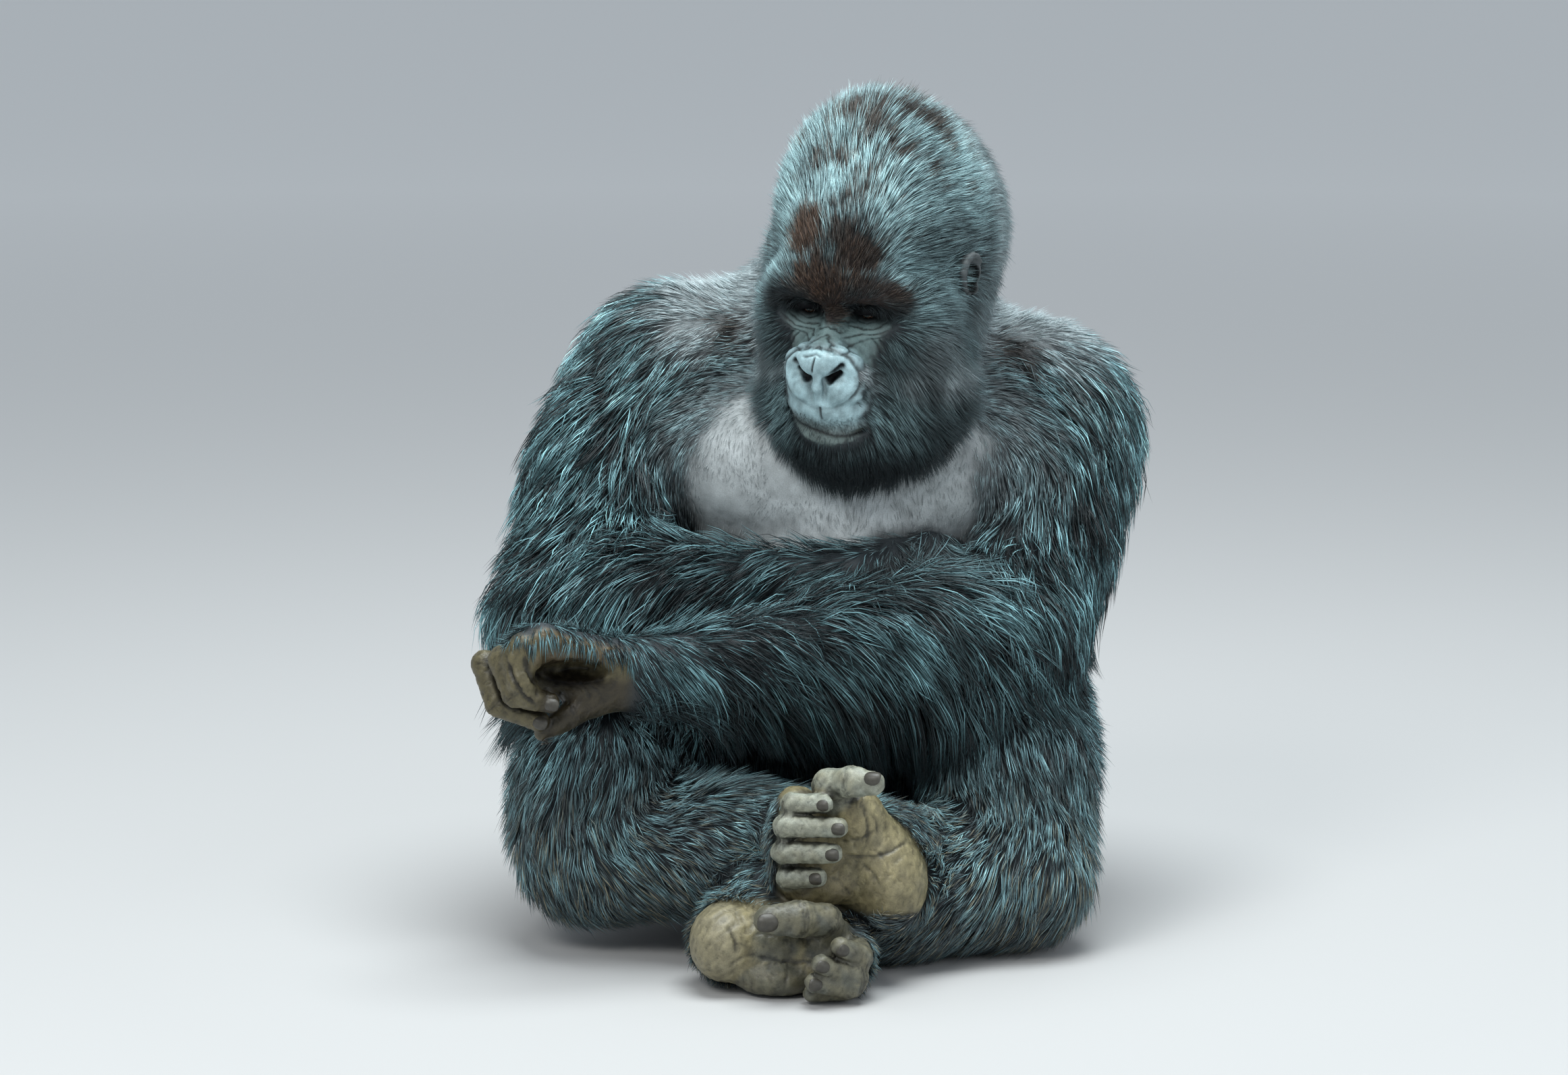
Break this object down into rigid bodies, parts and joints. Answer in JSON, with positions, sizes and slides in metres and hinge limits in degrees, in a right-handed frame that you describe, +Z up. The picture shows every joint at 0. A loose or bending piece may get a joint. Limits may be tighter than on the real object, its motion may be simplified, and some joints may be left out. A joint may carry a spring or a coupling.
{
  "type": "silverback mountain gorilla",
  "caption": "Life-size still figure of a silverback mountain gorilla sitting with legs crossed and arms folded, head turned and lowered.",
  "frame": {"origin": "centre of the footprint's bounding box, on the floor the animal sits on", "axes": "+Z up, -Y the way the chest faces, +X towards the animal's left"},
  "size_m": [0.769, 0.804, 0.9477],
  "materials": {
    "coat": "matt black fur with a blue-grey sheen, silver-grey on the saddle",
    "coat_head": "matt black fur, reddish brown on the crown and brow",
    "skin_face": "creased blue-grey bare skin, satin",
    "skin_hand": "creased grey-brown bare skin, dusty",
    "eye": "wet gloss, dark brown",
    "nail": "dark horn, satin"
  },
  "bodies": {
    "root": {"ear_L": "skin_face", "ear_R": "skin_face", "eye_L": "eye", "eye_R": "eye", "foot_L": "skin_hand", "foot_R": "skin_hand", "forearm_L": "coat", "forearm_R": "coat", "hand_L": "skin_hand", "hand_R": "skin_hand", "head": "coat_head", "lower_leg_L": "coat", "lower_leg_R": "coat", "nail_great_toe_L": "nail", "nail_great_toe_R": "nail", "nail_index_L": "nail", "nail_middle_L": "nail", "nail_thumb_L": "nail", "nail_toe_2_L": "nail", "nail_toe_2_R": "nail", "nail_toe_3_L": "nail", "nail_toe_3_R": "nail", "nail_toe_4_L": "nail", "nail_toe_4_R": "nail", "nail_toe_5_R": "nail", "neck": "coat", "thigh_L": "coat", "thigh_R": "coat", "trunk": "coat", "upper_arm_L": "coat", "upper_arm_R": "coat"}
  },
  "joints": []
}
